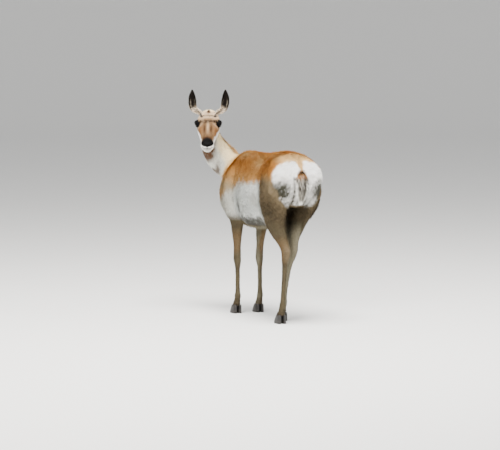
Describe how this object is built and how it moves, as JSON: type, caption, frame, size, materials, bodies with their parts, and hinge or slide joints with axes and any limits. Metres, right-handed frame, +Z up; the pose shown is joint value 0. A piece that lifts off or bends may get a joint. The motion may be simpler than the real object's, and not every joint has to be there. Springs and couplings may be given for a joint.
{
  "type": "pronghorn model",
  "caption": "Life-size still model of a pronghorn doe, standing square, with her head turned back over her left side.",
  "frame": {"origin": "on the floor, under the middle of the bounding box", "axes": "+Z up, the body faces -Y, and the animal's left is +X"},
  "size_m": [0.4378, 0.9792, 1.1839],
  "materials": {
    "coat": "short rufous and white hair",
    "ear": "short dark hair with a pale rim",
    "eye": "wet, very dark brown",
    "horn": "black keratin, worn",
    "hoof": "black keratin, dusty"
  },
  "bodies": {
    "root": {"torso": "coat", "neck": "coat", "head": "coat", "tail": "coat", "foreleg_left": "coat", "foreleg_right": "coat", "hindleg_left": "coat", "hindleg_right": "coat", "ear_left": "ear", "ear_right": "ear", "eye_left": "eye", "eye_right": "eye", "horn_left": "horn", "horn_right": "horn", "hoof_fore_left_inner": "hoof", "hoof_fore_left_outer": "hoof", "hoof_fore_right_inner": "hoof", "hoof_fore_right_outer": "hoof", "hoof_hind_left_inner": "hoof", "hoof_hind_left_outer": "hoof", "hoof_hind_right_inner": "hoof", "hoof_hind_right_outer": "hoof"}
  },
  "joints": []
}
